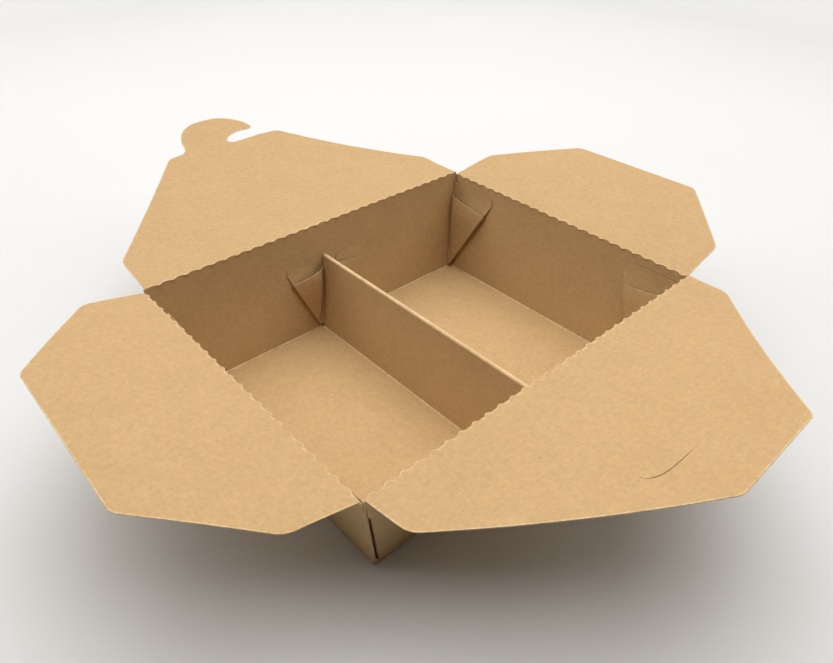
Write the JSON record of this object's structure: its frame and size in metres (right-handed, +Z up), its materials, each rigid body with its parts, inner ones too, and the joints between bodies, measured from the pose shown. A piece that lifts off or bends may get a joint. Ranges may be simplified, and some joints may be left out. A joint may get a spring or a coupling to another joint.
{
  "type": "takeaway box",
  "caption": "Open kraft board takeaway box: tapered tray with folded-in corner gussets, a tent-shaped divider, and lid flaps on wavy perforated creases with a hook-and-slit lock.",
  "frame": {"origin": "centre of the tray's flat underside", "axes": "+Z up, X along the tray's long side, Y across it towards the hook flap"},
  "size_m": [0.3327, 0.3678, 0.077],
  "materials": {
    "kraft_board": "matte uncoated brown kraft board with fine fibres, paler along creases and cut edges"
  },
  "bodies": {
    "box": {"tray": "kraft_board", "divider": "kraft_board"},
    "hook_flap": {"hook_flap": "kraft_board"},
    "slit_flap": {"slit_flap": "kraft_board"},
    "left_dust_flap": {"left_dust_flap": "kraft_board"},
    "right_dust_flap": {"right_dust_flap": "kraft_board"}
  },
  "joints": [
    {"name": "hook_crease", "type": "hinge", "parent": "box", "child": "hook_flap", "pos_m": [0, 0.07825, 0.0575], "axis": [1, 0, 0], "range_deg": [-32.5, 169.3]},
    {"name": "slit_crease", "type": "hinge", "parent": "box", "child": "slit_flap", "pos_m": [0, -0.07825, 0.0575], "axis": [-1, 0, 0], "range_deg": [-47, 168.8]},
    {"name": "left_crease", "type": "hinge", "parent": "box", "child": "left_dust_flap", "pos_m": [-0.0995, 0, 0.0563], "axis": [0, 1, 0], "range_deg": [-53.4, 171.5]},
    {"name": "right_crease", "type": "hinge", "parent": "box", "child": "right_dust_flap", "pos_m": [0.0995, 0, 0.0563], "axis": [0, -1, 0], "range_deg": [-51, 170.9]}
  ]
}
